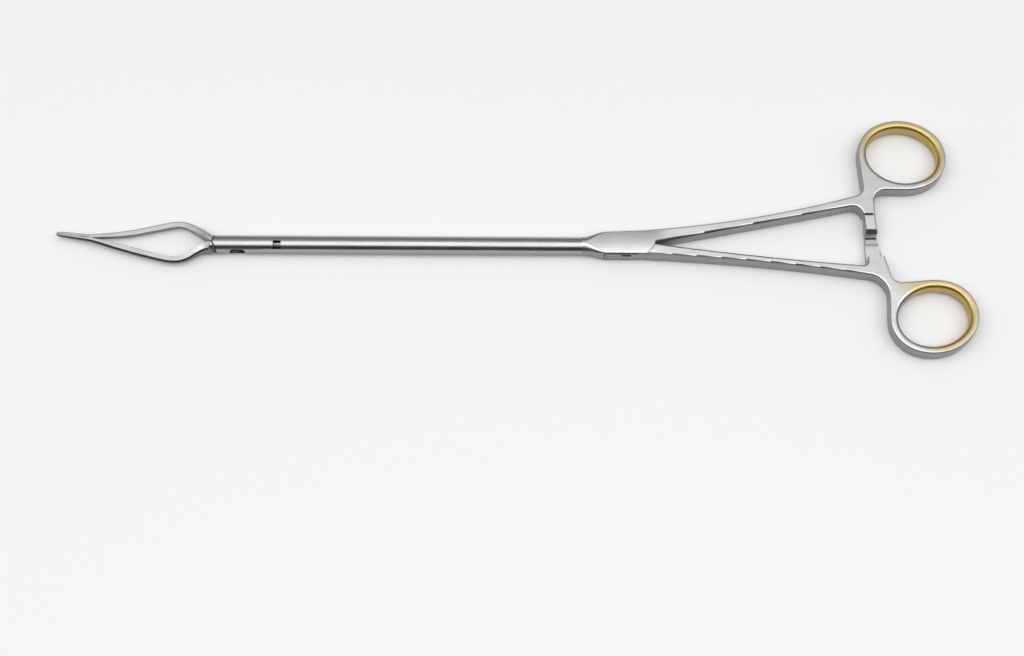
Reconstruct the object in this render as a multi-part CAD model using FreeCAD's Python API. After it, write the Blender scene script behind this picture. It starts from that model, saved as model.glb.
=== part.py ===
import FreeCAD, Part
import math
import os

# Long ring-handled dissecting forceps for keyhole chest surgery, lying flat.
# Millimetres. +X runs from the jaws to the finger rings, +Y to the fixed ring, +Z up.
# The origin is on the table, under the shaft's axis and level with the handle hinge.
# Every piece is drawn about the shaft's axis at z = 0 and lifted onto the table at the end.

os.makedirs("parts", exist_ok=True)

Vec = FreeCAD.Vector
UP = Vec(0, 0, 1)
ALONG = Vec(1, 0, 0)

# Fits
running_gap = 0.03
side_gap = 0.05
seam_gap = 0.2
swing_gap = 0.1
front_gap = 0.2
reach_past = 3.0

# Shaft
shaft_d = 6.0
shaft_bore_d = 3.6
nose_len = 14.5
tube_len = 107.5
spigot_d = 4.8
spigot_len = 4.0
bush_len = 5.0
rear_bush_set_back = 1.2
window_len = 2.7
window_w = 3.0
window_from_front = 4.3
window_tilt = 25.0

# Drive rod
rod_d = 2.4
rod_tenon_d = 1.5
rod_tenon_len = 3.2
blade_t = 1.0
blade_w = 2.6
blade_tail_w = 2.0
blade_tail_len = 4.0
blade_pin_d = 0.8
rod_end_t = 1.0
rod_end_w = 2.0
rod_end_wall = 0.75
rod_socket_d = 3.0
rod_socket_len = 3.9
cross_pin_d = 0.9

# Jaw housing
housing_len = 16.1
housing_web_t = 1.2
jaw_slot_h = 3.0
jaw_slot_w = 4.4
v_depth = 1.2
v_gap = 0.12
side_window_front = 5.9
dowel_d = 1.4
dowel_before_tube = 3.1

# Jaws
jaw_len = 52.6
jaw_swing = 10.0
jaw_pivot_behind_vertex = 2.8
jaw_pin_d = 1.6
hub_r = 2.05
jaw_gap = 0.03
tail_t = 0.9
tail_wall = 0.72
cam_pin_d = 1.0
cam_reach = 6.3
contact_len = 12.3
contact_y = 1.75
tip_y = 3.4
jaw_bevel = 0.55
insert_t = 0.45
insert_len = 11.4
serration_pitch = 0.62
serration_depth = 0.14
jaw_serrated_to = 20.0
upper_arm = (
    (-0.025, 1.55, 1.45, 3.0),
    (0.029, 2.4, 1.25, 2.5),
    (0.06, 3.35, 1.2, 2.0),
    (0.1, 4.55, 1.1, 1.55),
    (0.15, 5.95, 1.08, 1.25),
    (0.19, 6.6, 1.08, 1.12),
    (0.235, 6.76, 1.07, 1.07),
    (0.3, 6.25, 1.05, 1.05),
    (0.36, 5.5, 1.03, 1.03),
    (0.42, 4.8, 1.0, 1.0),
    (0.48, 4.12, 0.98, 1.0),
    (0.54, 3.55, 0.95, 0.98),
    (0.6, 3.1, 0.9, 0.97),
    (0.66, 2.8, 0.85, 0.96),
    (0.72, 2.6, 0.78, 0.95),
)
lower_arm = (
    (-0.025, -1.55, 1.45, 3.0),
    (0.029, -1.55, 1.4, 2.5),
    (0.06, -1.95, 1.25, 2.0),
    (0.1, -3.1, 1.08, 1.55),
    (0.15, -4.75, 1.05, 1.25),
    (0.19, -5.62, 1.06, 1.12),
    (0.24, -5.95, 1.06, 1.07),
    (0.3, -5.6, 1.05, 1.05),
    (0.37, -4.72, 1.03, 1.03),
    (0.47, -3.4, 1.0, 1.0),
    (0.56, -2.05, 0.98, 0.98),
    (0.65, -0.65, 0.93, 0.96),
    (0.72, 0.5, 0.85, 0.95),
)
jaw_tip = ((0.79, 0.62, 0.92), (0.88, 0.52, 0.84), (0.95, 0.45, 0.74), (0.985, 0.36, 0.6), (1.0, 0.2, 0.42))
upper_inner = ((0.005, 0.2, 0), (0.198, 6.28, 7.0), (0.555, 2.3, 40.0))
lower_inner = ((0.048, -0.15, 0), (0.2152, -5.83, 10.0), (0.62, -0.05, 50.0))

# Handle hinge
hinge_y = 1.3
rivet_d = 2.2
hinge_hub_r = 2.0
ear_r = 8.6
ear_start_angle = 197.5
tongue_h = 3.7
ear_top_z = 0.3
drive_arm = 2.8
drive_pin_d = 1.1
handle_swing = 28.0

# Handle plates and shanks
handle_h = 6.0
box_front_x = -7.0
box_low_y = -3.9
box_high_y = 4.25
box_rear_high_y = 4.85
box_rear_x = 6.6
buried_root = 4.0
blunted_tip = 0.35
handle_edge_r = 0.7
shank_inner_r = 3.5
nose_collar = 1.0
nose_step = 0.05
nose_flare = ((0, 0, 2.85), (0.25, 0.17, 2.3), (0.5, 0.52, 1.7), (0.78, 0.88, 1.1), (1, 1, 0.75))

# Finger rings
ring_long = 14.9
ring_short = 12.95
ring_wall = 2.85
ring_end_r = 12.0
ring_bore_r = 1.45
fixed_ring_past_rack = 13.8
fixed_ring_y = 33.0
fixed_ring_tilt = -9.0
moving_ring_past_rack = 20.9
moving_ring_y = -25.6
moving_ring_tilt = 17.0

# Ratchet
rack_in_r = 80.6
rack_w = 3.85
rack_pitch = 1.25
rack_depth = 0.55
rack_crest_gap = 0.05
fixed_rack_end_y = 4.2
fixed_rack_root_y = 11.4
fixed_rack_bevel = 1.3
moving_rack_end_y = 9.0
moving_rack_last_y = 1.2
moving_rack_step_y = -4.35
moving_rack_recess = 0.6
relief_slot_len = 3.1
relief_slot_w = 0.93

# Places that follow from the sizes above
shaft_r = shaft_d / 2
tube_rear_x = -nose_len
tube_front_x = tube_rear_x - tube_len
vertex_x = tube_front_x - housing_len
jaw_pivot_x = vertex_x + jaw_pivot_behind_vertex
half_swing = math.radians(handle_swing / 2)
rod_travel = 2 * drive_arm * math.sin(half_swing)
drive_rest = Vec(drive_arm * math.sin(half_swing), hinge_y - drive_arm * math.cos(half_swing), 0)
hinge = Vec(0, hinge_y, 0)
jaw_pivot = Vec(jaw_pivot_x, 0, 0)
meet_x = vertex_x - jaw_len + contact_len
cam_rest_x = jaw_pivot_x + cam_reach
rack_out_r = rack_in_r + rack_w
shank_mid_x = rack_in_r * 0.56
fixed_ring_x = rack_in_r + fixed_ring_past_rack
moving_ring_x = rack_in_r + moving_ring_past_rack
tongue_half = tongue_h / 2
pocket_half = tongue_half + side_gap
rod_end_low = ear_top_z + 2 * side_gap
rod_end_high = rod_end_low + rod_end_t
rod_end_low_y = drive_rest.y - drive_pin_d / 2 - rod_end_wall
rod_end_clear_x = tube_rear_x + spigot_len + rod_travel + 0.3


def save(name, shape):
    """Lift a piece onto the table and write it."""
    lifted = shape.copy()
    lifted.translate(Vec(0, 0, shaft_r))
    lifted.exportStep("parts/" + name + ".step")


def rod_along_x(diameter, x_low, x_high):
    """Round bar on the shaft's axis."""
    return Part.makeCylinder(diameter / 2, x_high - x_low, Vec(x_low, 0, 0), ALONG)


def upright(radius, z_low, z_high, spot):
    """Round bar along Z over a spot in the plan."""
    return Part.makeCylinder(radius, z_high - z_low, Vec(spot.x, spot.y, z_low), UP)


def block(x_low, x_high, y_low, y_high, z_low, z_high):
    """Box between two corners."""
    return Part.makeBox(x_high - x_low, y_high - y_low, z_high - z_low, Vec(x_low, y_low, z_low))


def slab(edges, z_low, z_high):
    """Flat plate from the edges of its plan."""
    face = Part.Face(Part.Wire(Part.__sortEdges__(edges)))
    face.translate(Vec(0, 0, z_low))
    return face.extrude(Vec(0, 0, z_high - z_low))


def line(a, b):
    return Part.LineSegment(a, b).toShape()


def arc(a, through, b):
    return Part.Arc(a, through, b).toShape()


def rounded_corner(before, here, after, radius):
    """Start, middle and end of the arc that rounds one corner."""
    back = (before - here).normalize()
    on = (after - here).normalize()
    half = back.getAngle(on) / 2
    inward = (back + on).normalize()
    centre = here + inward * (radius / math.sin(half))
    reach = radius / math.tan(half)
    return here + back * reach, centre - inward * radius, here + on * reach


def rounded_outline(corners):
    """Edges of a closed outline from corners (x, y, radius)."""
    spots = [Vec(x, y, 0) for x, y, radius in corners]
    count = len(corners)
    edges = []
    stretches = []
    for i in range(count):
        radius = corners[i][2]
        if radius > 0:
            start, middle, end = rounded_corner(spots[i - 1], spots[i], spots[(i + 1) % count], radius)
            edges.append(arc(start, middle, end))
            stretches.append((start, end))
        else:
            stretches.append((spots[i], spots[i]))
    for i in range(count):
        edges.append(line(stretches[i - 1][1], stretches[i][0]))
    return edges


def link(a, a_r, b, b_r, z_low, z_high):
    """Plate with round ends about two spots and straight sides between them."""
    offset = b - a
    distance = offset.Length
    heading = math.atan2(offset.y, offset.x)
    lean = math.acos((a_r - b_r) / distance)
    edges = []
    corners = []
    for side in (1, -1):
        out = Vec(math.cos(heading + side * lean), math.sin(heading + side * lean), 0)
        corners.append((a + out * a_r, b + out * b_r))
        edges.append(line(corners[-1][0], corners[-1][1]))
    forward = Vec(math.cos(heading), math.sin(heading), 0)
    edges.append(arc(corners[0][0], a - forward * a_r, corners[1][0]))
    edges.append(arc(corners[0][1], b + forward * b_r, corners[1][1]))
    return slab(edges, z_low, z_high)


def turned(shape, centre, degrees):
    """Copy of a shape turned about an upright axis."""
    copy = shape.copy()
    copy.rotate(centre, UP, degrees)
    return copy


def round_uprights(solid, bends):
    """Round the upright edge at each (spot, radius)."""
    for spot, radius in bends:
        near = []
        for edge in solid.Edges:
            middle = edge.CenterOfMass
            tall = edge.BoundBox.ZLength > handle_h / 2
            if tall and math.hypot(middle.x - spot.x, middle.y - spot.y) < running_gap:
                near.append(edge)
        solid = solid.makeFillet(radius, near)
    return solid


def ring_circles(x, y, tilt, inset):
    """Centre and radius of an oval's arcs: right end, far side, left end, near side."""
    centre = Vec(x, y, 0)
    slope = math.radians(tilt)
    along = Vec(math.cos(slope), math.sin(slope), 0)
    across = Vec(-along.y, along.x, 0)
    end_r = ring_end_r - inset
    end_reach = ring_long - ring_end_r
    flatness = ring_short - ring_end_r
    side_reach = (end_reach ** 2 - flatness ** 2) / (2 * flatness)
    side_r = ring_short - inset + side_reach
    return (
        (centre + along * end_reach, end_r),
        (centre - across * side_reach, side_r),
        (centre - along * end_reach, end_r),
        (centre + across * side_reach, side_r),
    )


def ring_joint(circles, i):
    """Where an oval's arc i runs on into the next one."""
    here = circles[i % 4]
    following = circles[(i + 1) % 4]
    if here[1] > following[1]:
        return here[0] + (following[0] - here[0]).normalize() * here[1]
    return following[0] + (here[0] - following[0]).normalize() * following[1]


def ring_path(circles, first, start, last, end):
    """Arcs of an oval, anticlockwise from a spot on arc first to a spot on arc last."""
    edges = []
    here = start
    for i in range(first, last + 1):
        centre, radius = circles[i % 4]
        there = end if i == last else ring_joint(circles, i)
        middle = centre + (here + there - centre * 2).normalize() * radius
        edges.append(arc(here, middle, there))
        here = there
    return edges


def touch(circle, spot, side):
    """Where a line from a spot touches a circle."""
    centre, radius = circle
    offset = spot - centre
    angle = math.atan2(offset.y, offset.x) + side * math.acos(radius / offset.Length)
    return centre + Vec(math.cos(angle), math.sin(angle), 0) * radius


def seam(shift):
    """Curved edge where the box plates end and the moving shank comes out."""
    return (
        Vec(6.4 + shift, box_low_y, 0),
        Vec(8.4 + shift, -2.35 - shift / 2, 0),
        Vec(9.9 + shift, 0.35 - shift, 0),
    )


def before_seam():
    """Everything on the jaws' side of the moving shank's seam."""
    low, middle, high = seam(seam_gap)
    circle = Part.Circle(low, middle, high)
    ends = []
    for spot, further in ((low, -0.2), (high, 0.2)):
        from_centre = spot - circle.Center
        angle = math.atan2(from_centre.y, from_centre.x) + further
        ends.append(circle.Center + Vec(math.cos(angle), math.sin(angle), 0) * circle.Radius)
    low, high = ends
    corners = [high, Vec(high.x, handle_h, 0), Vec(-handle_h, handle_h, 0), Vec(-handle_h, low.y, 0), low]
    edges = [line(corners[i - 1], corners[i]) for i in range(1, 5)]
    edges.append(arc(low, middle, high))
    return slab(edges, -handle_h, handle_h)


def round_rims(solid, shift):
    """Round a handle's top and bottom edges, but not at the seam or the nose."""
    low, middle, high = seam(shift)
    circle = Part.Circle(low, middle, high)
    rims = []
    for edge in solid.Edges:
        if edge.BoundBox.ZLength > handle_h / 2:
            continue
        spots = [v.Point for v in edge.Vertexes]
        at_nose = all(abs(p.x - box_front_x) < 0.01 for p in spots)
        flat = [Vec(p.x, p.y, 0) for p in spots]
        on_circle = all(abs((p - circle.Center).Length - circle.Radius) < 0.01 for p in flat)
        at_seam = on_circle and all(p.x < box_rear_x + 6 for p in flat)
        if not at_nose and not at_seam:
            rims.append(edge)
    return solid.makeFillet(handle_edge_r, rims)


def cut_bore(solid, circles):
    """Open a finger ring's hole and round it for comfort."""
    start = ring_joint(circles, 3)
    solid = solid.cut(slab(ring_path(circles, 0, start, 3, start), -handle_h, handle_h))
    middle = (circles[0][0] + circles[2][0]) / 2
    rims = []
    for edge in solid.Edges:
        near = all((v.Point - middle).Length < ring_long - ring_wall / 2 for v in edge.Vertexes)
        if near and edge.BoundBox.ZLength < handle_h / 2:
            rims.append(edge)
    return solid.makeFillet(ring_bore_r, rims)


def rack_zone(y_low, y_high, z_low, z_high, extra):
    """Curved strip about the hinge that a rack runs in."""
    outer = upright(rack_out_r + extra, z_low, z_high, hinge)
    inner = upright(rack_in_r - extra, z_low - 1, z_high + 1, hinge)
    strip = block(rack_in_r / 2, rack_out_r + 10, y_low, y_high, z_low - 1, z_high + 1)
    return outer.cut(inner).common(strip)


def tooth_groove(y, face_z, into):
    """Saw-tooth groove across a rack, radial to the hinge."""
    lean = math.degrees(math.asin((y - hinge_y) / rack_in_r))
    x_low = rack_in_r - 1
    corners = (
        Vec(x_low, hinge_y, face_z - into * 0.2),
        Vec(x_low, hinge_y, face_z + into * rack_depth),
        Vec(x_low, hinge_y + into * rack_pitch * 0.85, face_z - into * 0.2),
    )
    edges = [line(corners[i - 1], corners[i]) for i in range(3)]
    groove = Part.Face(Part.Wire(edges)).extrude(Vec(rack_w + 4, 0, 0))
    return turned(groove, hinge, lean)


def nose_section(x, low_y, high_y, corner_r):
    """Rounded rectangle across the nose."""
    half = handle_h / 2 - nose_step
    centres = ((high_y, 1), (low_y, 1), (low_y, -1), (high_y, -1))
    edges = []
    spots = []
    for i in range(4):
        side_y, up = centres[i]
        in_y = side_y - corner_r if side_y > 0 else side_y + corner_r
        centre = Vec(x, in_y, up * (half - corner_r))
        start = math.radians(90 * i)
        bend = []
        for turn in (0, math.pi / 4, math.pi / 2):
            bend.append(centre + Vec(0, math.cos(start + turn), math.sin(start + turn)) * corner_r)
        edges.append(arc(bend[0], bend[1], bend[2]))
        spots.append((bend[0], bend[2]))
    straight = [line(spots[i - 1][1], spots[i][0]) for i in range(4)]
    return Part.Wire([edge for pair in zip(straight, edges) for edge in pair])


def handle_nose():
    """Flare from the round shaft to the flat box, lofted."""
    start = tube_rear_x + nose_collar
    root = box_front_x + nose_step
    reach = root - start
    slim = shaft_r - nose_step
    sections = []
    for share, swell, corner_r in nose_flare:
        low_y = -slim + (box_low_y + nose_step + slim) * swell
        high_y = slim + (box_high_y - nose_step - slim) * swell
        sections.append(nose_section(start + reach * share, low_y, high_y, corner_r))
    flare = Part.makeLoft(sections, True, False)
    return flare.fuse(rod_along_x(shaft_d, tube_rear_x, start + nose_step))


def make_fixed_handle():
    """Box, shank, upper ring and upper rack in one forging, with the slot for the tongue."""
    edge = seam(0)
    corner = Vec(rack_in_r - 0.8, 14.75, 0)
    neck = Vec(rack_in_r, 18.7, 0)
    throat = Vec(rack_out_r - 0.45, 20.1, 0)
    shoulder = Vec(throat.x, fixed_rack_root_y + 0.6, 0)
    rack_low = Vec(rack_in_r, fixed_rack_end_y, 0)
    rack_high = Vec(rack_out_r, fixed_rack_end_y, 0)
    box_corner = Vec(box_front_x, box_low_y, 0)
    box_top = Vec(box_front_x, box_high_y, 0)
    box_rear = Vec(box_rear_x, box_rear_high_y, 0)
    ring = ring_circles(fixed_ring_x, fixed_ring_y, fixed_ring_tilt, 0)
    below = touch(ring[3], throat, 1)
    beside = touch(ring[2], neck, -1)
    edges = [
        line(box_corner, edge[0]),
        arc(edge[0], edge[1], edge[2]),
        arc(edge[2], Vec(shank_mid_x, 7.45, 0), corner),
        line(corner, rack_low),
        line(rack_low, rack_high),
        line(rack_high, shoulder),
        line(shoulder, throat),
        line(throat, below),
        line(beside, neck),
        arc(neck, Vec(shank_mid_x, 10.1, 0), box_rear),
        line(box_rear, box_top),
        line(box_top, box_corner),
    ]
    edges += ring_path(ring, 3, below, 6, beside)
    body = slab(edges, -handle_h / 2, handle_h / 2)
    bends = [(corner, shank_inner_r), (neck, shank_inner_r), (throat, 4.0)]
    body = round_uprights(body, bends)
    body = round_rims(body, 0)
    body = cut_bore(body, ring_circles(fixed_ring_x, fixed_ring_y, fixed_ring_tilt, ring_wall))
    body = body.fuse(handle_nose())
    body = body.cut(rod_along_x(spigot_d, tube_rear_x - 1, tube_rear_x + spigot_len))
    body = body.cut(rod_along_x(shaft_bore_d, tube_rear_x, -ear_r))
    body = body.cut(tongue_pocket())
    body = body.cut(upright(rivet_d / 2, -handle_h, handle_h, hinge))
    body = body.cut(rack_zone(-reach_past, fixed_rack_root_y, -handle_h, rack_crest_gap, 0.5))
    body = body.cut(bevel_wedge())
    tooth_y = fixed_rack_end_y + 0.5
    while tooth_y + rack_pitch < fixed_rack_root_y - relief_slot_w - 0.2:
        body = body.cut(tooth_groove(tooth_y, rack_crest_gap, 1))
        tooth_y += rack_pitch
    return body.cut(relief_slot())


def tongue_pocket():
    """Room between the box plates for the tongue, the rod's end and their swing."""
    half = pocket_half
    hub_top = hinge_y + hinge_hub_r
    room = upright(ear_r + front_gap, -half, half, hinge)
    room = room.common(block(-ear_r - 1, hinge_hub_r + 2, -2 * ear_r, hub_top - swing_gap, -half, half))
    room = room.fuse(upright(hinge_hub_r + swing_gap, -half, half, hinge))
    crotch = seam(0)[2]
    crotch_y = crotch.y + side_gap
    wedge = [
        (0, hub_top + swing_gap, 0),
        (crotch.x, crotch_y, 0),
        (crotch.x + reach_past, crotch_y, 0),
        (crotch.x + reach_past, -2 * ear_r, 0),
        (0, -2 * ear_r, 0),
    ]
    room = room.fuse(slab(rounded_outline(wedge), -half, half))
    low = rod_end_low - 2 * side_gap
    narrow = rod_end_w / 2 + 4 * side_gap
    room = room.fuse(block(tube_rear_x + spigot_len - 0.2, 0, -narrow, narrow, low, half))
    return room.fuse(block(rod_end_clear_x, 0, rod_end_low_y - 4 * side_gap, narrow, low, half))


def bevel_wedge():
    """Slope on the top of the fixed rack's end."""
    corners = (
        Vec(rack_in_r - 2, fixed_rack_end_y - 0.2, handle_h / 2 - fixed_rack_bevel),
        Vec(rack_in_r - 2, fixed_rack_end_y + fixed_rack_bevel, handle_h / 2),
        Vec(rack_in_r - 2, fixed_rack_end_y + fixed_rack_bevel, handle_h),
        Vec(rack_in_r - 2, fixed_rack_end_y - 0.2, handle_h),
    )
    edges = [line(corners[i - 1], corners[i]) for i in range(4)]
    return Part.Face(Part.Wire(edges)).extrude(Vec(rack_w + 4, 0, 0))


def relief_slot():
    """Round-ended slot through the fixed rack's root."""
    slot_y = fixed_rack_root_y - relief_slot_w / 2
    mid_x = (rack_in_r + rack_out_r) / 2 - 0.65
    reach = relief_slot_len / 2 - relief_slot_w / 2
    a = Vec(mid_x - reach, slot_y, 0)
    b = Vec(mid_x + reach, slot_y, 0)
    return link(a, relief_slot_w / 2, b, relief_slot_w / 2, -handle_h, handle_h)


def make_moving_handle():
    """Tongue, shank, lower ring and lower rack in one forging."""
    edge = seam(seam_gap)
    corner = Vec(rack_in_r + 0.1, -7.6, 0)
    throat = Vec(rack_out_r + 4.35, -13.7, 0)
    elbow = Vec(rack_out_r + 2.85, -11.8, 0)
    low_start = Vec(edge[0].x - buried_root, box_low_y + 0.1, 0)
    high_start = Vec(low_start.x, edge[2].y + 0.95, 0)
    top_left = Vec(rack_in_r, moving_rack_end_y, 0)
    top_right = Vec(rack_out_r - 0.15, moving_rack_end_y, 0)
    flank = Vec(rack_out_r + 0.05, 3.0, 0)
    ring = ring_circles(moving_ring_x, moving_ring_y, moving_ring_tilt, 0)
    beside = touch(ring[2], elbow, 1)
    above = touch(ring[1], throat, -1)
    edges = [
        line(low_start, high_start),
        arc(high_start, Vec(shank_mid_x, -4.35, 0), corner),
        line(corner, top_left),
        line(top_left, top_right),
        line(top_right, flank),
        line(flank, throat),
        line(throat, above),
        line(beside, elbow),
        arc(elbow, Vec(shank_mid_x, -6.6, 0), low_start),
    ]
    edges += ring_path(ring, 2, beside, 5, above)
    body = slab(edges, -handle_h / 2, handle_h / 2)
    body = round_uprights(body, [(corner, 1.7), (throat, 3.6), (elbow, 7.2)])
    body = round_rims(body.cut(before_seam()), seam_gap)
    tip_x = edge[0].x + blunted_tip
    body = body.cut(block(low_start.x, tip_x, 2 * box_low_y, edge[0].y + blunted_tip, -handle_h, handle_h))
    body = cut_bore(body, ring_circles(moving_ring_x, moving_ring_y, moving_ring_tilt, ring_wall))
    before = rack_in_r - 2 * rack_w
    behind = rack_out_r + 2 * rack_w
    above_end = moving_rack_end_y + 1
    body = body.cut(block(before, behind, moving_rack_step_y, above_end, -rack_crest_gap, handle_h))
    recess_z = -rack_crest_gap - moving_rack_recess
    body = body.cut(block(before, behind, moving_rack_step_y, moving_rack_last_y, recess_z, handle_h))
    tooth_y = moving_rack_end_y - 0.4
    while tooth_y - rack_pitch > moving_rack_last_y:
        body = body.cut(tooth_groove(tooth_y, -rack_crest_gap, -1))
        tooth_y -= rack_pitch
    body = body.fuse(handle_tongue(edge))
    body = body.cut(upright(rivet_d / 2 + running_gap, -handle_h, handle_h, hinge))
    return body.cut(upright(drive_pin_d / 2, -handle_h, handle_h, drive_rest))


def handle_tongue(edge):
    """Flat tongue inside the box, stepped down in front under the rod's end."""
    half = tongue_half
    start = math.radians(ear_start_angle)
    far = 2 * ear_r
    fan = [
        (hinge.x, hinge.y, 0),
        (hinge.x + far * math.cos(start), hinge.y + far * math.sin(start), 0),
        (-far, box_low_y, 0),
        (edge[0].x, box_low_y, 0),
    ]
    ear = upright(ear_r, -half, half, hinge).common(slab(rounded_outline(fan), -half, half))
    hub = upright(hinge_hub_r, -half, half, hinge)
    low_y = box_low_y + side_gap
    root = [
        (hinge.x, hinge_y + hinge_hub_r, 0),
        (edge[2].x + 0.5, edge[2].y - 0.3, 0),
        (edge[2].x + 0.5, low_y, 0),
        (drive_rest.x + 2.0, low_y, 0),
        (hinge.x, hinge.y, 0),
    ]
    tongue = ear.fuse(hub).fuse(slab(rounded_outline(root), -half, half))
    step_x = drive_rest.x + drive_pin_d
    deep_x = step_x + 1.0
    step = block(-far, step_x, -far, far, ear_top_z, half + 1)
    step = step.fuse(block(-far, deep_x, box_low_y + 0.9, far, ear_top_z, half + 1))
    return tongue.cut(step.cut(upright(hinge_hub_r - 0.5, -half, half + 1, hinge)))


def make_shaft_tube():
    """Long tube with both ends turned down, and the flushing window."""
    tube = rod_along_x(shaft_d, tube_front_x, tube_rear_x)
    tube = tube.fuse(rod_along_x(spigot_d, tube_front_x - spigot_len, tube_rear_x + spigot_len))
    tube = tube.cut(rod_along_x(shaft_bore_d, tube_front_x - spigot_len - 1, tube_rear_x + spigot_len + 1))
    x_low = tube_front_x + window_from_front
    window = block(x_low, x_low + window_len, -window_w / 2, window_w / 2, 0, shaft_d)
    tall = [e for e in window.Edges if e.BoundBox.ZLength > shaft_r]
    window = window.makeFillet(0.4, tall)
    window.rotate(Vec(0, 0, 0), ALONG, window_tilt)
    tube = tube.cut(window)
    return tube.cut(dowel_hole(1)).cut(dowel_hole(-1))


def dowel_hole(side):
    """A dowel's space, above for 1 and below for -1."""
    spot = Vec(tube_front_x - dowel_before_tube, 0, 0)
    deep = shaft_bore_d / 2 + side_gap
    hole = upright(dowel_d / 2, deep, shaft_d, spot)
    return hole if side > 0 else turned_over(hole)


def turned_over(shape):
    """Copy of a shape half a turn about the shaft's axis."""
    copy = shape.copy()
    copy.rotate(Vec(0, 0, 0), ALONG, 180)
    return copy


def make_dowel(side):
    """Short dowel, rounded flush with the shaft."""
    return dowel_hole(side).common(rod_along_x(shaft_d, vertex_x, tube_front_x + 1))


def make_bush(x_low, x_high):
    """Guide bush pressed in the tube's bore."""
    ring = rod_along_x(shaft_bore_d, x_low, x_high)
    return ring.cut(rod_along_x(rod_d + 2 * running_gap, x_low - 1, x_high + 1))


def v_prism(apex_x, depth, rear_x):
    """Everything behind a pointed V that faces the jaws."""
    wide = 2 * shaft_r
    drop = depth * wide / shaft_r
    corners = [
        (apex_x, 0, 0),
        (apex_x + drop, wide, 0),
        (rear_x, wide, 0),
        (rear_x, -wide, 0),
        (apex_x + drop, -wide, 0),
    ]
    return slab(rounded_outline(corners), -shaft_d, shaft_d)


def make_jaw_housing():
    """Short tube that carries the jaws between two cheeks."""
    housing = rod_along_x(shaft_d, vertex_x, tube_front_x)
    housing = housing.common(v_prism(vertex_x, v_depth, tube_front_x + 1))
    housing = housing.cut(rod_along_x(spigot_d, tube_front_x - spigot_len, tube_front_x + 1))
    bore_d = math.hypot(blade_w, blade_t) + 4 * side_gap
    housing = housing.cut(rod_along_x(bore_d, tube_front_x - spigot_len - 2 * housing_web_t, tube_front_x))
    half = jaw_slot_h / 2
    window_rear = tube_front_x - spigot_len - housing_web_t
    window_front = vertex_x + side_window_front
    housing = housing.cut(block(vertex_x - 1, window_front + 1, -jaw_slot_w / 2, jaw_slot_w / 2, -half, half))
    opening = block(window_front, window_rear, -shaft_d, shaft_d, -half, half)
    ends = [e for e in opening.Edges if e.BoundBox.YLength > shaft_d]
    housing = housing.cut(opening.makeFillet(0.9, ends))
    housing = housing.cut(upright(jaw_pin_d / 2, -shaft_d, shaft_d, jaw_pivot))
    return housing.cut(dowel_hole(1)).cut(dowel_hole(-1))


def make_jaw_pin():
    """Jaw hinge pin, rounded flush with the housing."""
    pin = upright(jaw_pin_d / 2, -shaft_d, shaft_d, jaw_pivot)
    return pin.common(rod_along_x(shaft_d, vertex_x, tube_front_x))


def cam_spot(share, turn):
    """Cam pin's centre in a jaw's own frame, at a share of the full opening."""
    reach = cam_reach - rod_travel * share
    angle = turn * math.radians(jaw_swing) * share
    return jaw_pivot + Vec(reach * math.cos(angle), reach * math.sin(angle), 0)


def cam_slot(turn, z_low, z_high):
    """Curved slot that the cam pin runs in."""
    rest = cam_spot(0, turn)
    middle = cam_spot(0.5, turn)
    end = cam_spot(1, turn)
    circle = Part.Arc(rest, middle, end).toShape().Curve
    radius = cam_pin_d / 2 + running_gap
    band = upright(circle.Radius + radius, z_low, z_high, circle.Center)
    band = band.cut(upright(circle.Radius - radius, z_low - 1, z_high + 1, circle.Center))
    chord = end - rest
    side = Vec(-chord.y, chord.x, 0).normalize()
    corners = [rest + side * 3, rest - side * 3, end - side * 3, end + side * 3]
    edges = [line(corners[i - 1], corners[i]) for i in range(4)]
    band = band.common(slab(edges, z_low, z_high))
    return band.fuse(upright(radius, z_low, z_high, rest)).fuse(upright(radius, z_low, z_high, end))


def ahead(distance):
    """X of a place so far in front of the housing's point."""
    return vertex_x - distance


def contact_height(x):
    """Y of the line where the closed jaws meet."""
    return contact_y + (tip_y - contact_y) * (meet_x - x) / contact_len


def arm_stations(turn):
    """Centre, half width and half height of an arm from root to tip."""
    stations = []
    for share, y, half_w, half_h in upper_arm if turn > 0 else lower_arm:
        stations.append((Vec(ahead(share * jaw_len), y, 0), half_w, half_h))
    for share, half_w, half_h in jaw_tip:
        x = ahead(share * jaw_len)
        stations.append((Vec(x, contact_height(x) + turn * half_w, 0), half_w, half_h))
    return stations


def arm_section(centre, heading, half_w, half_h, bevel):
    """Rectangle with bevelled corners across an arm."""
    across = Vec(-heading.y, heading.x, 0)
    spots = []
    for side, up in ((1, 1), (-1, 1), (-1, -1), (1, -1)):
        by_side = centre + across * (side * half_w) + UP * (up * (half_h - bevel))
        by_top = centre + across * (side * (half_w - bevel)) + UP * (up * half_h)
        spots += [by_side, by_top] if side == up else [by_top, by_side]
    return Part.Wire([line(spots[i - 1], spots[i]) for i in range(8)])


def make_arm(turn):
    """Bowed arm with soft edges, flat on its inner face."""
    stations = arm_stations(turn)
    sections = []
    for i in range(len(stations)):
        centre, half_w, half_h = stations[i]
        before = stations[max(i - 1, 0)][0]
        after = stations[min(i + 1, len(stations) - 1)][0]
        heading = ALONG * -1 if i == 0 else (after - before).normalize()
        bevel = min(jaw_bevel, half_w * 0.8)
        inward = Vec(-heading.y, heading.x, 0) * (turn * bevel / 2)
        sections.append(arm_section(centre + inward, heading, half_w + bevel / 2, half_h, bevel))
    arm = Part.makeLoft(sections, True, False)
    return arm.cut(inner_side(turn)).common(jaw_envelope())


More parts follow.
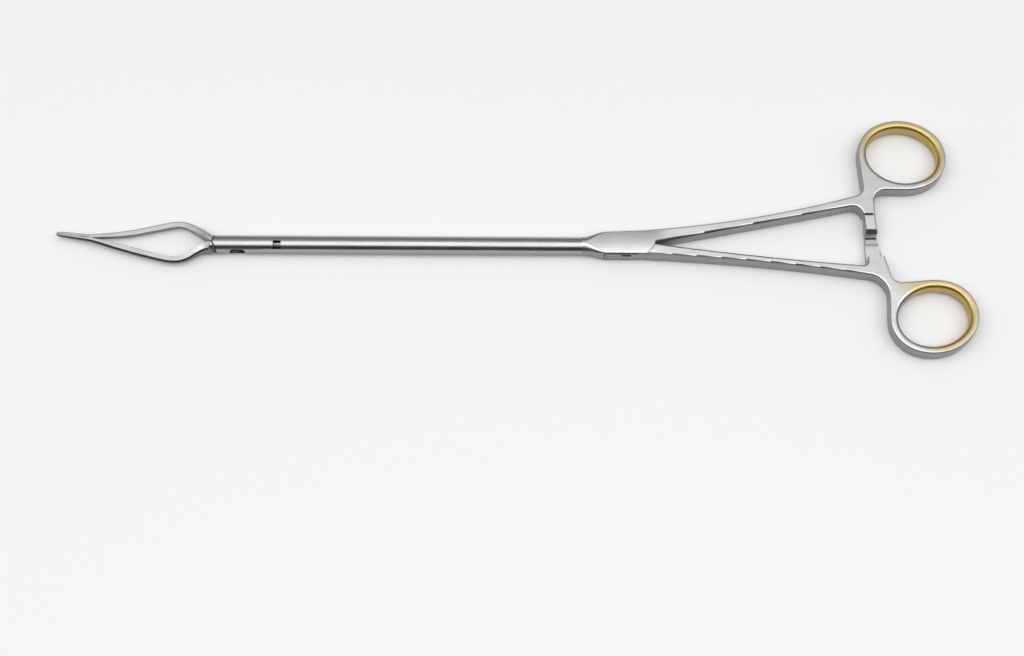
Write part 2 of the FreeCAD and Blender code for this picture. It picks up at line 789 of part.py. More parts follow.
def inner_outline(turn):
    """Corners (x, y, radius) of an arm's inner face from root to tip."""
    g = turn * jaw_gap / 2
    bow = upper_inner if turn > 0 else lower_inner
    corners = [(ahead(share * jaw_len), y, radius) for share, y, radius in bow]
    corners.append((meet_x, contact_y + g, 0))
    tip_x = ahead(jaw_len + 1)
    corners.append((tip_x, contact_height(tip_x) + g, 0))
    return corners


def inner_side(turn):
    """Everything on the other jaw's side of an arm's inner face."""
    corners = inner_outline(turn)
    far = -turn * 4 * shaft_r
    corners += [(ahead(jaw_len + 1), far, 0), (ahead(-3), far, 0), (ahead(-3), corners[0][1], 0)]
    return slab(rounded_outline(corners), -2 * shaft_r, 2 * shaft_r)


def jaw_envelope():
    """Turned form that the arms leave the round housing in."""
    steep = 0.72
    corners = [
        (ahead(-2.0), 0, 0),
        (ahead(-2.0), shaft_r, 0),
        (ahead(0.4), shaft_r, 0),
        (ahead(jaw_len + 2), shaft_r + steep * (jaw_len + 1.6), 0),
        (ahead(jaw_len + 2), 0, 0),
    ]
    profile = Part.Face(Part.Wire(Part.__sortEdges__(rounded_outline(corners))))
    return profile.revolve(Vec(0, 0, 0), ALONG, 360)


def serrate(shape, start, end, pitch, depth_way):
    """Fine grooves across a straight gripping face."""
    heading = (end - start).normalize()
    count = int((end - start).Length / pitch)
    grooves = []
    for i in range(count):
        at = start + heading * (pitch * (i + 0.5))
        a = at - heading * (pitch * 0.4) - depth_way * 0.05
        b = at + heading * (pitch * 0.4) - depth_way * 0.05
        c = at + depth_way * serration_depth
        grooves.append(slab([line(a, b), line(b, c), line(c, a)], -shaft_d, shaft_d))
    return shape.cut(grooves)


def make_jaw(turn):
    """One jaw and the hard insert at its tip; turn is 1 for the upper one, -1 for the lower."""
    low = side_gap if turn > 0 else -tail_top()
    high = tail_top() if turn > 0 else -side_gap
    rear = v_depth - shaft_r * math.tan(math.radians(jaw_swing))
    jaw = make_arm(turn).cut(v_prism(vertex_x - v_gap, rear, tube_front_x))
    neck = [
        (jaw_pivot_x, turn * hub_r * 0.9, 0),
        (ahead(0.5), turn * 1.65, 0),
        (ahead(1.6), turn * 2.4, 0),
        (ahead(2.6), turn * 2.0, 0),
        (ahead(0.9), turn * 0.65, 0),
        (ahead(0.2), turn * 0.25, 0),
        (jaw_pivot_x - hub_r * 0.9, turn * 0.1, 0),
        (jaw_pivot_x, 0, 0),
    ]
    jaw = jaw.fuse(upright(hub_r, low, high, jaw_pivot))
    jaw = jaw.fuse(slab(rounded_outline(neck), low, high).common(jaw_envelope()))
    jaw = jaw.fuse(jaw_tail(turn))
    jaw = jaw.cut(upright(jaw_pin_d / 2 + running_gap, -shaft_d, shaft_d, jaw_pivot))
    corners = inner_outline(turn)
    meet = Vec(corners[3][0], corners[3][1], 0)
    tip = Vec(ahead(jaw_len), contact_height(ahead(jaw_len)) + turn * jaw_gap / 2, 0)
    back = (meet - tip).normalize()
    out = Vec(-back.y, back.x, 0) * turn
    seat = tip + back * insert_len
    far_end = tip - back
    around = [seat, far_end, far_end + out * insert_t, seat + out * insert_t]
    pocket = slab([line(around[i - 1], around[i]) for i in range(4)], -shaft_d, shaft_d)
    insert = jaw.common(pocket)
    jaw = jaw.cut(pocket)
    insert = serrate(insert, tip + back * 0.5, seat, serration_pitch, out)
    bow = Vec(corners[2][0], corners[2][1], 0)
    way = (bow - meet).normalize()
    side = Vec(-way.y, way.x, 0) * turn
    rough_end = meet + way * (jaw_serrated_to - contact_len + 5.0)
    jaw = serrate(jaw, meet + way * 0.4, rough_end, serration_pitch * 1.2, side)
    return jaw, insert


def tail_top():
    """Height of a jaw tail's outer face over the mid-plane."""
    return jaw_slot_h / 2 - side_gap


def jaw_tail(turn):
    """Thin tail behind the jaw hinge, with the cam slot."""
    low = tail_top() - tail_t if turn > 0 else -tail_top()
    high = tail_top() if turn > 0 else -tail_top() + tail_t
    eye_r = cam_pin_d / 2 + running_gap + tail_wall
    rest = cam_spot(0, turn)
    end = cam_spot(1, turn)
    tail = link(jaw_pivot, hub_r * 0.9, rest, eye_r, low, high)
    tail = tail.fuse(link(jaw_pivot, hub_r * 0.9, end, eye_r, low, high))
    tail = tail.fuse(link(end, eye_r, rest, eye_r - 0.01, low, high))
    return tail.cut(cam_slot(turn, low - 0.1, high + 0.1))


def blade_rear_x():
    """Where the rod's front end and the blade's shoulder meet."""
    return tube_front_x - spigot_len - 4 * side_gap


def blade_pin_spot():
    return Vec(blade_rear_x() + blade_tail_len / 2, 0, 0)


def make_drive_rod():
    """Long rod, slotted in front for the blade and turned to a tenon behind."""
    front = blade_rear_x()
    rear = tube_rear_x + spigot_len - rod_socket_len + 0.3
    rod = rod_along_x(rod_d, front, rear)
    rod = rod.fuse(rod_along_x(rod_tenon_d, rear, rear + rod_tenon_len))
    slot = block(front - 1, front + blade_tail_len, -rod_d, rod_d, -blade_t / 2, blade_t / 2)
    rod = rod.cut(slot).cut(upright(blade_pin_d / 2, -rod_d, rod_d, blade_pin_spot()))
    return rod.cut(upright(cross_pin_d / 2, -shaft_d, shaft_d, Vec(cross_pin_x(), 0, 0)))


def make_cam_blade():
    """Flat blade that carries the cam pin, tailed into the rod's slot."""
    nose = Vec(cam_rest_x, 0, 0)
    shoulder = Vec(blade_rear_x(), 0, 0)
    half = blade_t / 2
    blade = link(nose, cam_pin_d / 2 + 0.7, shoulder, blade_w / 2, -half, half)
    blade = blade.common(block(cam_rest_x - 5, shoulder.x, -blade_w, blade_w, -half, half))
    tail_end = shoulder.x + blade_tail_len - side_gap
    blade = blade.fuse(block(shoulder.x, tail_end, -blade_tail_w / 2, blade_tail_w / 2, -half, half))
    blade = blade.cut(upright(cam_pin_d / 2, -shaft_d, shaft_d, nose))
    return blade.cut(upright(blade_pin_d / 2, -rod_d, rod_d, blade_pin_spot()))


def make_blade_pin():
    """Cross pin through the rod and the blade's tail, flush with the rod."""
    return upright(blade_pin_d / 2, -rod_d, rod_d, blade_pin_spot()).common(
        rod_along_x(rod_d, blade_rear_x(), tube_rear_x)
    )


def cross_pin_x():
    """Where the rod's end is pinned on."""
    return tube_rear_x + spigot_len - rod_socket_len / 2 - 0.1


def make_rod_end():
    """Socket on the rod's tenon, with the flat slotted plate that the drive pin moves."""
    rear = tube_rear_x + spigot_len
    front = rear - rod_socket_len + 0.3
    tenon_end = front + rod_tenon_len
    socket = rod_along_x(rod_socket_d, front, rear)
    socket = socket.cut(rod_along_x(rod_tenon_d, front - 1, tenon_end))
    half_w = rod_end_w / 2
    wide_x = rod_end_clear_x + rod_travel + 4 * side_gap
    neck = block(tenon_end, rod_end_clear_x + 0.3, -half_w, half_w, rod_end_low, rod_end_high)
    high_y = hinge_y - hinge_hub_r + 0.35
    end_x = drive_rest.x + drive_pin_d / 2 + rod_end_wall
    hub_clear_x = -hinge_hub_r - 0.6
    plate = [
        (rod_end_clear_x, half_w, 0),
        (hub_clear_x - 0.6, half_w, 0.5),
        (hub_clear_x + 0.5, high_y, 0.5),
        (end_x, high_y, 0.4),
        (end_x, rod_end_low_y, 1.0),
        (wide_x, rod_end_low_y, 0.5),
        (wide_x, -half_w, 0.5),
        (rod_end_clear_x, -half_w, 0),
    ]
    body = socket.fuse(neck).fuse(slab(rounded_outline(plate), rod_end_low, rod_end_high))
    slot_r = drive_pin_d / 2 + running_gap
    bow_spot = Vec(drive_rest.x, hinge_y - drive_arm - running_gap, 0)
    rest_spot = drive_rest + Vec(0, running_gap, 0)
    body = body.cut(link(bow_spot, slot_r, rest_spot, slot_r - 0.001, -tongue_h, tongue_h))
    return body.cut(upright(cross_pin_d / 2, -shaft_d, shaft_d, Vec(cross_pin_x(), 0, 0)))


def make_all():
    """Build each piece and write it."""
    save("fixed_handle", make_fixed_handle())
    save("moving_handle", make_moving_handle())
    save("handle_rivet", upright(rivet_d / 2, -handle_h / 2, handle_h / 2, hinge))
    save("drive_pin", upright(drive_pin_d / 2, -tongue_h / 2, tongue_h / 2, drive_rest))
    save("shaft_tube", make_shaft_tube())
    save("jaw_housing", make_jaw_housing())
    save("upper_dowel", make_dowel(1))
    save("lower_dowel", make_dowel(-1))
    save("jaw_pivot_pin", make_jaw_pin())
    front = tube_front_x - spigot_len
    save("front_rod_bush", make_bush(front, front + bush_len))
    rear = tube_rear_x - rear_bush_set_back
    save("rear_rod_bush", make_bush(rear - bush_len, rear))
    save("drive_rod", make_drive_rod())
    save("cam_blade", make_cam_blade())
    save("blade_pin", make_blade_pin())
    save("cam_pin", upright(cam_pin_d / 2, -tail_top(), tail_top(), Vec(cam_rest_x, 0, 0)))
    save("rod_end", make_rod_end())
    pin = upright(cross_pin_d / 2, -rod_socket_d, rod_socket_d, Vec(cross_pin_x(), 0, 0))
    save("rod_end_pin", pin.common(rod_along_x(rod_socket_d, tube_rear_x - 5, 0)))
    for name, turn in (("upper", 1), ("lower", -1)):
        jaw, insert = make_jaw(turn)
        save(name + "_jaw", jaw)
        save(name + "_jaw_insert", insert)


make_all()
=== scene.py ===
import math

import bpy
from mathutils import Matrix, Vector


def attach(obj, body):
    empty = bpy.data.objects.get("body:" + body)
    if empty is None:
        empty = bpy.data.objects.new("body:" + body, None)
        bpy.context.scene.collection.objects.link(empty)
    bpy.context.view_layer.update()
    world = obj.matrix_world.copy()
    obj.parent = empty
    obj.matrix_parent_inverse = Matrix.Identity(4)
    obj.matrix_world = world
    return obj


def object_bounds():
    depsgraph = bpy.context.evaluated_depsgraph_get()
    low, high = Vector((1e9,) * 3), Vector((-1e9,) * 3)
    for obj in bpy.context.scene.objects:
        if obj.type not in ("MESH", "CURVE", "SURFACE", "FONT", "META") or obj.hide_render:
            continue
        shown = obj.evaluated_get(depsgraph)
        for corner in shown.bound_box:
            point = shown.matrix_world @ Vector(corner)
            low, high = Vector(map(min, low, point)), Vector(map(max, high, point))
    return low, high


# Long ring-handled dissecting forceps lying on a pale table.
# Metres, in the part's own frame: +X to the finger rings, +Y to the fixed ring, +Z up.

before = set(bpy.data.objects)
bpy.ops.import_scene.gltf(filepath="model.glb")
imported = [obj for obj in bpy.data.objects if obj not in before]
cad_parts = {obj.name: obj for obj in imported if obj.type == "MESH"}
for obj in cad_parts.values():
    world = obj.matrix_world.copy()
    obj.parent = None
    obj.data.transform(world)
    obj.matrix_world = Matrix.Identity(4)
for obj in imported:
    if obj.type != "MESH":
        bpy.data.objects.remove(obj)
cad_low, cad_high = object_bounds()

MM = 0.001

# Camera that matches the photograph
CAMERA_PLACE = Vector((-37.7, -262.2, 620.2)) * MM
CAMERA_DOWN = math.radians(69.34)
CAMERA_ROLL = math.radians(0.31)
CLIP_NEAR = 0.01
CLIP_FAR = 20.0
PHOTO_WIDTH_PX = 1024
FOCAL_PX = 2000
SENSOR_WIDTH = 36.0

# Colours
STEEL = (0.42, 0.418, 0.412)
SATIN_STEEL = (0.66, 0.656, 0.642)
DARK_STEEL = (0.33, 0.33, 0.33)
INSERT_STEEL = (0.5, 0.5, 0.51)
PIN_STEEL = (0.57, 0.57, 0.56)
GOLD = (0.52, 0.385, 0.12)
# Painted shade: walls, dark lines, unlit jaw tails and the sides of the tube and jaws
WALL_PAINTED_SHADE = (0.3, 0.298, 0.292)
PAINTED_SHADE_LINE = (0.08, 0.08, 0.078)
UNLIT_STEEL = (0.03, 0.03, 0.03)
TUBE_SIDE_PAINTED_SHADE = tuple(c * 0.8 for c in STEEL)
JAW_SIDE_PAINTED_SHADE = tuple(c * 0.28 for c in SATIN_STEEL)
BUSH_TONES = (0.78, 0.77, 0.72), (0.88, 0.87, 0.83)
TABLE_TONES = (0.905, 0.905, 0.9), (0.935, 0.935, 0.93)

# Noises: scale per metre, detail and roughness
FINE_NOISE = (900.0, 4.0, 0.55)
CLOUD_NOISE = (60.0, 4.0, 0.6)
SPECK_NOISE = (2600.0, 2.0, 0.55)
PATCH_NOISE = (140.0, 3.0, 0.55)
MOTTLE_NOISE = (4200.0, 2.0, 0.55)
BUSH_NOISE = (800.0, 3.0, 0.55)
TABLE_NOISE = (1.6, 2.0, 0.55)
NOISE_MIDDLE = 0.5

# Steel finishes: scale of the grain on each axis, colour, roughness, its spread and the relief
HANDLE_FINISH = ((0.25, 1.0, 1.0), SATIN_STEEL, 0.34, 0.03, 0.000002)
TUBE_FINISH = ((0.12, 1.0, 1.0), STEEL, 0.24, 0.03, 0.000002)
JAW_FINISH = ((0.3, 1.0, 1.0), SATIN_STEEL, 0.26, 0.03, 0.000002)
INSERT_FINISH = ((1.0, 1.0, 1.0), INSERT_STEEL, 0.38, 0.06, 0.000006)
PIN_FINISH = ((1.0, 1.0, 1.0), PIN_STEEL, 0.3, 0.05, 0.000003)
ROD_FINISH = ((0.1, 1.0, 1.0), DARK_STEEL, 0.35, 0.05, 0.000003)

# How the noises make up a steel's tone, polish and relief
DARKER = 0.94
LIGHTER = 1.05
GRAIN_IN_TONE = 0.55
TONE_TURN = (0.36, 0.64)
CLOUD_IN_POLISH = 0.6
POLISH_TURN = (0.3, 0.7)
GRAIN_IN_RELIEF = 0.7

# Bushes and table
BUSH_ROUGHNESS = 0.55
BUSH_RELIEF = 0.00001
TABLE_ROUGHNESS = 0.9
TABLE_GLOSS = 0.1

# Each pair of limits below is where a mask is 0 and where it is 1

# Heights off the handles' mid height: their flat faces, and their walls that get painted shade
MID_HEIGHT = 0.003
FLAT_FACE = (0.002998, 0.0029995)
WALL_HEIGHTS = (0.00298, 0.0027)

# Painted shade: a dark line under the box plate's low edge
LINE_TOP = (0.0029, 0.00265)
LINE_FOOT = (0.00195, 0.0022)
LINE_START = (-0.0075, -0.007)
LINE_END = (0.0045, 0.004)
LOW_SIDE = (-0.003, -0.0035)

# Rack, and the mottled painted shade over the ratchet teeth that show on the moving one
TEETH_X = 0.0825
TEETH_Y = 0.0022
RACK_REACH = (0.0031, 0.0027)
TEETH_REACH_X = (0.0026, 0.0022)
TEETH_REACH_Y = (0.002, 0.0017)
TEETH_MOTTLE = (0.3, 0.7, 0.2, 0.8)

# How level a surface lies, from 0 upright to 1 level
HANDLE_TURN = (0.97, 0.9)
TUBE_TURN = (0.45, 0.15)
JAW_TURN = (0.98, 0.6)

# Finger rings: centre and the way the gold lies, seen from the centre
FIXED_RING = Vector((94.4, 33.0)) * MM
FIXED_RING_WAY = Vector((0.45, 0.89))
MOVING_RING = Vector((101.5, -25.6)) * MM
MOVING_RING_WAY = Vector((0.95, 0.3))
RING_REACH = (0.0175, 0.0155)
RING_INSIDE = (0.55, 0.15)
RING_PLATED = (-0.75, -0.1)
RING_RIM = (-0.35, -0.1, 1.0, 0.62)
PATCHES = 0.5
PATCHES_ON_RIM = 0.5

# Front of the housing: painted shadow along its V mouth, and painted shade on the jaws' tails
# behind it
VERTEX_X = -0.1381
V_SLOPE = 0.4
SEAM = (0.00045, 0.00027)
TAIL_START = (0.0008, 0.0014)

# Lip of the box plate over the tongue's step
LIP_LOW = Vector((-6.85, -3.88, 3.4)) * MM
LIP_HIGH = Vector((-1.2, -3.4, 4.92)) * MM
LIP_EDGE = 0.0001
LIP_EDGE_STEPS = 2

# The box's faces are ground slightly crowned across the part
CROWN_RADIUS = 0.03
CROWN_MIDDLE = -0.0005
CROWN_RUN = (0.007, 0.016, 1.0, 0.0)

# Table top
FLOOR_RADIUS = 4.0
FLOOR_SIDES = 96

# Soft box overhead
LAMP_LENGTH = 3.0
LAMP_WIDTH = 1.075
LAMP_POWER = 15.6
LAMP_PLACE = (0.0, -0.213, 1.3)

# Brightness of the room by the angle from straight up, in degrees toward +Y
ROOM_STRENGTH = 1.15
ROOM_LEVELS = (
    (-110, 0.3),
    (-83, 0.1),
    (-66, 0.05),
    (-53, 0.05),
    (-44, 0.1),
    (-36, 0.25),
    (-28, 0.5),
    (0, 0.6),
    (22, 0.72),
    (30, 0.62),
    (40, 0.45),
    (52, 0.32),
    (70, 0.26),
    (90, 0.4),
    (110, 0.5),
)


def new_material(name):
    """Node material; returns it with its tree and its shader."""
    material = bpy.data.materials.new(name)
    material.use_nodes = True
    tree = material.node_tree
    return material, tree, tree.nodes["Principled BSDF"]


def math_node(tree, operation, a, b=None):
    """Math node fed by sockets or numbers."""
    node = tree.nodes.new("ShaderNodeMath")
    node.operation = operation
    for socket, value in zip(node.inputs, (a, b)):
        if value is None:
            continue
        if isinstance(value, (int, float)):
            socket.default_value = value
        else:
            tree.links.new(value, socket)
    return node.outputs[0]


def plus(tree, a, b):
    """Sum of two values."""
    return math_node(tree, "ADD", a, b)


def minus(tree, a, b):
    """Difference of two values."""
    return math_node(tree, "SUBTRACT", a, b)


def times(tree, a, b):
    """Product of two values."""
    return math_node(tree, "MULTIPLY", a, b)


def apart(tree, a, b):
    """How far two values lie apart."""
    return math_node(tree, "ABSOLUTE", minus(tree, a, b))


def blend(tree, a, b, share):
    """Sum of two values, the first with its share and the second with the rest."""
    return plus(tree, times(tree, a, share), times(tree, b, 1.0 - share))


def ramp(tree, value, low, high, out_low=0.0, out_high=1.0):
    """Smooth step of a value between two limits."""
    node = tree.nodes.new("ShaderNodeMapRange")
    node.interpolation_type = "SMOOTHSTEP"
    node.inputs["From Min"].default_value = low
    node.inputs["From Max"].default_value = high
    node.inputs["To Min"].default_value = out_low
    node.inputs["To Max"].default_value = out_high
    tree.links.new(value, node.inputs["Value"])
    return node.outputs["Result"]


def mix_colour(tree, share, a, b):
    """Mix two colours, each a socket or a tuple."""
    node = tree.nodes.new("ShaderNodeMix")
    node.data_type = "RGBA"
    tree.links.new(share, node.inputs[0])
    for socket, value in ((node.inputs[6], a), (node.inputs[7], b)):
        if isinstance(value, tuple):
            socket.default_value = (*value, 1)
        else:
            tree.links.new(value, socket)
    return node.outputs[2]


def coordinates(tree, kind):
    """Texture coordinates of a kind."""
    return tree.nodes.new("ShaderNodeTexCoord").outputs[kind]


def axes_of(tree, vector):
    """X, Y and Z of a vector."""
    node = tree.nodes.new("ShaderNodeSeparateXYZ")
    tree.links.new(vector, node.inputs[0])
    return node.outputs["X"], node.outputs["Y"], node.outputs["Z"]


def place_axes(tree):
    """X, Y and Z of the place on the part."""
    return axes_of(tree, coordinates(tree, "Object"))


def stretched(tree, place, scale):
    """Coordinates scaled along each axis."""
    node = tree.nodes.new("ShaderNodeMapping")
    node.inputs["Scale"].default_value = scale
    tree.links.new(place, node.inputs["Vector"])
    return node.outputs["Vector"]


def noise(tree, vector, scale, detail, roughness):
    """Value of a noise."""
    node = tree.nodes.new("ShaderNodeTexNoise")
    node.inputs["Scale"].default_value = scale
    node.inputs["Detail"].default_value = detail
    node.inputs["Roughness"].default_value = roughness
    tree.links.new(vector, node.inputs["Vector"])
    return node.outputs["Fac"]


def relief(tree, height, depth, under=None):
    """Normal of a relief of a depth in metres, on top of another normal if one is given."""
    node = tree.nodes.new("ShaderNodeBump")
    node.inputs["Strength"].default_value = 1.0
    node.inputs["Distance"].default_value = depth
    tree.links.new(height, node.inputs["Height"])
    if under is not None:
        tree.links.new(under, node.inputs["Normal"])
    return node.outputs["Normal"]


def level_faces(tree):
    """Normal that keeps the handles' two faces truly flat up to their rounded edges."""
    height = place_axes(tree)[2]
    geometry = tree.nodes.new("ShaderNodeNewGeometry")
    node = tree.nodes.new("ShaderNodeMix")
    node.data_type = "VECTOR"
    tree.links.new(ramp(tree, apart(tree, height, MID_HEIGHT), *FLAT_FACE), node.inputs[0])
    tree.links.new(geometry.outputs["Normal"], node.inputs[4])
    tree.links.new(geometry.outputs["True Normal"], node.inputs[5])
    return node.outputs[1]


def crowned_box(tree):
    """Normal of the box's crowned faces: highest along the part, falling to both sides."""
    x, y, _ = place_axes(tree)
    across = minus(tree, y, CROWN_MIDDLE)
    fall = math_node(tree, "DIVIDE", times(tree, across, across), -2 * CROWN_RADIUS)
    height = times(tree, fall, ramp(tree, math_node(tree, "ABSOLUTE", x), *CROWN_RUN))
    return relief(tree, height, 1.0, level_faces(tree))


def upright_wall(tree, limits):
    """1 on upright walls, 0 on level faces."""
    level = axes_of(tree, coordinates(tree, "Normal"))[2]
    return ramp(tree, math_node(tree, "ABSOLUTE", level), *limits)


def walls_painted_shade(tree):
    """1 on the handles' walls, which get painted shade; 0 on their two faces and on the rack's
    level faces.
    """
    x, _, z = place_axes(tree)
    wall = ramp(tree, apart(tree, z, MID_HEIGHT), *WALL_HEIGHTS)
    level = minus(tree, 1.0, upright_wall(tree, HANDLE_TURN))
    rack_face = times(tree, ramp(tree, apart(tree, x, TEETH_X), *RACK_REACH), level)
    return times(tree, wall, minus(tree, 1.0, rack_face))


def edge_painted_shade(tree):
    """1 on the painted shade line under the box plate's low edge."""
    x, y, z = place_axes(tree)
    off_middle = apart(tree, z, MID_HEIGHT)
    line = times(tree, ramp(tree, off_middle, *LINE_TOP), ramp(tree, off_middle, *LINE_FOOT))
    span = times(tree, ramp(tree, x, *LINE_START), ramp(tree, x, *LINE_END))
    return times(tree, times(tree, line, span), ramp(tree, y, *LOW_SIDE))


def teeth_painted_shade(tree):
    """Mottled painted shade over the moving rack's last teeth."""
    place = coordinates(tree, "Object")
    x, y, _ = axes_of(tree, place)
    near_x = ramp(tree, apart(tree, x, TEETH_X), *TEETH_REACH_X)
    near_y = ramp(tree, apart(tree, y, TEETH_Y), *TEETH_REACH_Y)
    mottle = ramp(tree, noise(tree, place, *MOTTLE_NOISE), *TEETH_MOTTLE)
    return times(tree, times(tree, near_x, near_y), mottle)


def mouth_painted_shadow(tree):
    """1 along the V mouth's edge, where a painted shadow darkens the seam."""
    x, y, _ = place_axes(tree)
    edge = plus(tree, times(tree, math_node(tree, "ABSOLUTE", y), V_SLOPE), VERTEX_X)
    return ramp(tree, minus(tree, x, edge), *SEAM)


def inside_housing(tree):
    """1 on the jaws' tails, which get painted shade since nothing lights them."""
    limits = (VERTEX_X + behind for behind in TAIL_START)
    return ramp(tree, place_axes(tree)[0], *limits)


def gold_share(tree, place, ring, way):
    """How much gold shows: inside the finger ring and on its faces, away from the shank."""
    x, y, _ = axes_of(tree, place)
    dx = minus(tree, x, ring.x)
    dy = minus(tree, y, ring.y)
    reach = math_node(tree, "SQRT", plus(tree, times(tree, dx, dx), times(tree, dy, dy)))
    turn_x, turn_y, _ = axes_of(tree, coordinates(tree, "Normal"))
    outward = plus(tree, times(tree, dx, turn_x), times(tree, dy, turn_y))
    outward = math_node(tree, "DIVIDE", outward, reach)
    along = plus(tree, times(tree, dx, way.x), times(tree, dy, way.y))
    along = math_node(tree, "DIVIDE", along, reach)
    patchy = times(tree, minus(tree, noise(tree, place, *PATCH_NOISE), NOISE_MIDDLE), PATCHES)
    on_ring = ramp(tree, reach, *RING_REACH)
    inside = ramp(tree, plus(tree, outward, patchy), *RING_INSIDE)
    plated = ramp(tree, plus(tree, along, patchy), *RING_PLATED)
    rim = ramp(tree, plus(tree, outward, times(tree, patchy, PATCHES_ON_RIM)), *RING_RIM)
    return times(tree, times(tree, on_ring, inside), times(tree, plated, rim))


def shade(tree, shader, share, colour):
    """Lay a colour over the shader's own where a mask says."""
    own = shader.inputs["Base Color"].links[0].from_socket
    tree.links.new(mix_colour(tree, share, own, colour), shader.inputs["Base Color"])


def steel_finish(tree, shader, finish, under=None):
    """Brushed or satin steel: grain along one axis, cloudy wear and fine relief."""
    grain, colour, rough, spread, depth = finish
    place = coordinates(tree, "Object")
    fine = noise(tree, stretched(tree, place, grain), *FINE_NOISE)
    cloud = noise(tree, place, *CLOUD_NOISE)
    speck = noise(tree, place, *SPECK_NOISE)
    dark = tuple(c * DARKER for c in colour)
    light = tuple(c * LIGHTER for c in colour)
    tone = ramp(tree, blend(tree, fine, cloud, GRAIN_IN_TONE), *TONE_TURN)
    tree.links.new(mix_colour(tree, tone, dark, light), shader.inputs["Base Color"])
    polish = blend(tree, cloud, fine, CLOUD_IN_POLISH)
    polish = ramp(tree, polish, *POLISH_TURN, rough - spread, rough + spread)
    tree.links.new(polish, shader.inputs["Roughness"])
    shader.inputs["Metallic"].default_value = 1.0
    height = blend(tree, fine, speck, GRAIN_IN_RELIEF)
    tree.links.new(relief(tree, height, depth, under), shader.inputs["Normal"])
    return place


def satin_handle(name, ring, way):
    """Satin forging whose finger ring is gold plated inside and on its faces, with painted
    shade on its walls, under the box plate's low edge and over the rack's teeth.
    """
    material, tree, shader = new_material(name)
    place = steel_finish(tree, shader, HANDLE_FINISH, crowned_box(tree))
    shade(tree, shader, walls_painted_shade(tree), WALL_PAINTED_SHADE)
    shade(tree, shader, gold_share(tree, place, ring, way), GOLD)
    shade(tree, shader, edge_painted_shade(tree), PAINTED_SHADE_LINE)
    shade(tree, shader, teeth_painted_shade(tree), DARK_STEEL)
    return material


def plain_steel(name, finish):
    """Steel finish with nothing laid over it."""
    material, tree, shader = new_material(name)
    steel_finish(tree, shader, finish)
    return material


def tube_steel(name, mouth):
    """Brushed tube with painted shade on its sides, and a painted shadow along the seam of its
    V mouth if it has one.
    """
    material, tree, shader = new_material(name)
    steel_finish(tree, shader, TUBE_FINISH)
    shade(tree, shader, upright_wall(tree, TUBE_TURN), TUBE_SIDE_PAINTED_SHADE)
    if mouth:
        shade(tree, shader, mouth_painted_shadow(tree), PAINTED_SHADE_LINE)
    return material


def jaw_steel():
    """Satin jaws, with painted shade on their sides and on their tails inside the housing."""
    material, tree, shader = new_material("satin_jaw")
    steel_finish(tree, shader, JAW_FINISH)
    shade(tree, shader, upright_wall(tree, JAW_TURN), JAW_SIDE_PAINTED_SHADE)
    shade(tree, shader, inside_housing(tree), UNLIT_STEEL)
    return material


def bush_plastic():
    """Pale guide bush, matt with faint mottling."""
    material, tree, shader = new_material("guide_bush")
    mottled = noise(tree, coordinates(tree, "Object"), *BUSH_NOISE)
    tree.links.new(mix_colour(tree, mottled, *BUSH_TONES), shader.inputs["Base Color"])
    shader.inputs["Roughness"].default_value = BUSH_ROUGHNESS
    tree.links.new(relief(tree, mottled, BUSH_RELIEF), shader.inputs["Normal"])
    return material


def table_top():
    """Pale table that keeps the object's shadow."""
    material, tree, shader = new_material("pale_table")
    cloud = noise(tree, coordinates(tree, "Object"), *TABLE_NOISE)
    tree.links.new(mix_colour(tree, cloud, *TABLE_TONES), shader.inputs["Base Color"])
    shader.inputs["Roughness"].default_value = TABLE_ROUGHNESS
    shader.inputs["Specular IOR Level"].default_value = TABLE_GLOSS
    return material


def dress(materials):
    """Give each node of the part its finish."""
    for node, material in materials.items():
        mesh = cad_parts[node].data
        mesh.materials.clear()
        mesh.materials.append(material)


def deselect_all():
    """Leave nothing selected."""
    for item in bpy.context.selected_objects:
        item.select_set(False)


def add_plate_lip(finish):
    """Strip under the box plate's low edge, over the tongue's step."""
    deselect_all()
    bpy.ops.mesh.primitive_cube_add(size=1.0, location=(LIP_LOW + LIP_HIGH) / 2)
    lip = bpy.context.object
    lip.name = "box_plate_lip"
    lip.scale = LIP_HIGH - LIP_LOW
    bpy.ops.object.transform_apply(location=True, rotation=True, scale=True)
    bevel = lip.modifiers.new("rounded_edges", "BEVEL")
    bevel.width = LIP_EDGE
    bevel.segments = LIP_EDGE_STEPS
    bpy.ops.object.modifier_apply(modifier="rounded_edges")
    lip.data.materials.append(finish)
    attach(lip, "frame")


def add_floor():
    """Round table top, well past the camera's view."""
    deselect_all()
    bpy.ops.mesh.primitive_circle_add(
        vertices=FLOOR_SIDES, radius=FLOOR_RADIUS, fill_type="NGON", location=(0, 0, cad_low.z)
    )
    floor = bpy.context.object
    floor.name = "table_top"
    floor.data.materials.append(table_top())


def add_camera():
    """Camera at the photograph's place and angle."""
    data = bpy.data.cameras.new("photo_camera")
    data.sensor_width = SENSOR_WIDTH
    data.lens = FOCAL_PX / PHOTO_WIDTH_PX * SENSOR_WIDTH
    data.clip_start = CLIP_NEAR
    data.clip_end = CLIP_FAR
    camera = bpy.data.objects.new("photo_camera", data)
    bpy.context.scene.collection.objects.link(camera)
    across = Vector((1, 0, 0))
    ahead = Vector((0, math.cos(CAMERA_DOWN), -math.sin(CAMERA_DOWN)))
    above = Vector((0, math.sin(CAMERA_DOWN), math.cos(CAMERA_DOWN)))
    right = across * math.cos(CAMERA_ROLL) + above * math.sin(CAMERA_ROLL)
    up = above * math.cos(CAMERA_ROLL) - across * math.sin(CAMERA_ROLL)
    turn = Matrix((right, up, -ahead)).transposed().to_4x4()
    camera.matrix_world = Matrix.Translation(CAMERA_PLACE) @ turn
    bpy.context.scene.camera = camera


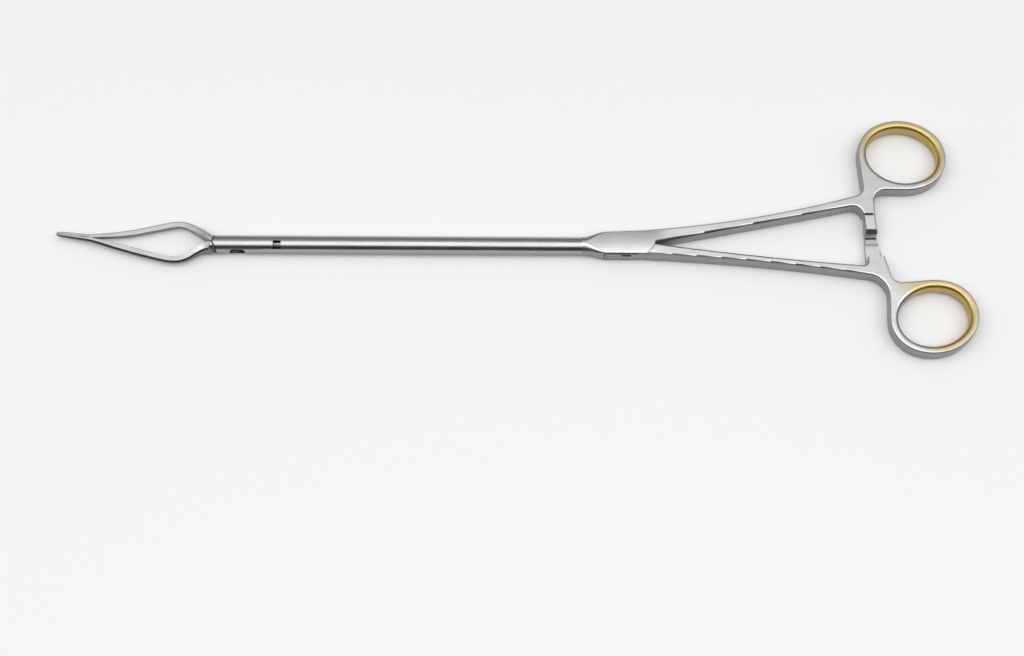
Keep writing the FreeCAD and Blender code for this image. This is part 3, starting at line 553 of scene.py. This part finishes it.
def add_soft_box():
    """Wide soft box overhead."""
    data = bpy.data.lights.new("soft_box", "AREA")
    data.shape = "RECTANGLE"
    data.size = LAMP_LENGTH
    data.size_y = LAMP_WIDTH
    data.energy = LAMP_POWER
    lamp = bpy.data.objects.new("soft_box", data)
    bpy.context.scene.collection.objects.link(lamp)
    lamp.location = LAMP_PLACE


def add_room():
    """Room that is dim in front of the object."""
    world = bpy.data.worlds.new("studio_room")
    world.use_nodes = True
    tree = world.node_tree
    _, y, z = axes_of(tree, coordinates(tree, "Generated"))
    angle = math_node(tree, "ARCTAN2", y, z)
    share = plus(tree, math_node(tree, "DIVIDE", angle, 2 * math.pi), 0.5)
    colours = tree.nodes.new("ShaderNodeValToRGB")
    tree.links.new(share, colours.inputs[0])
    elements = colours.color_ramp.elements
    while len(elements) < len(ROOM_LEVELS):
        elements.new(0.5)
    for element, (degrees, level) in zip(elements, ROOM_LEVELS):
        element.position = degrees / 360 + 0.5
        element.color = (level, level, level, 1)
    background = tree.nodes["Background"]
    tree.links.new(colours.outputs["Color"], background.inputs["Color"])
    background.inputs["Strength"].default_value = ROOM_STRENGTH
    bpy.context.scene.world = world


handle_fixed = satin_handle("fixed_handle_satin", FIXED_RING, FIXED_RING_WAY)
handle_moving = satin_handle("moving_handle_satin", MOVING_RING, MOVING_RING_WAY)
brushed_shaft = tube_steel("brushed_shaft", False)
brushed_housing = tube_steel("brushed_housing", True)
satin_jaw = jaw_steel()
hard_insert = plain_steel("hard_insert", INSERT_FINISH)
ground_pin = plain_steel("ground_pin", PIN_FINISH)
drawn_rod = plain_steel("drawn_rod", ROD_FINISH)
bush = bush_plastic()
dress(
    {
        "fixed_handle": handle_fixed,
        "moving_handle": handle_moving,
        "handle_rivet": handle_fixed,
        "drive_pin": ground_pin,
        "shaft_tube": brushed_shaft,
        "jaw_housing": brushed_housing,
        "upper_dowel": brushed_shaft,
        "lower_dowel": brushed_shaft,
        "jaw_pivot_pin": brushed_shaft,
        "front_rod_bush": bush,
        "rear_rod_bush": bush,
        "drive_rod": drawn_rod,
        "cam_blade": drawn_rod,
        "blade_pin": ground_pin,
        "rod_end": drawn_rod,
        "rod_end_pin": ground_pin,
        "cam_pin": ground_pin,
        "upper_jaw": satin_jaw,
        "lower_jaw": satin_jaw,
        "upper_jaw_insert": hard_insert,
        "lower_jaw_insert": hard_insert,
    }
)
add_plate_lip(handle_fixed)
add_floor()
add_camera()
add_soft_box()
add_room()
bpy.context.scene.view_settings.view_transform = "Standard"
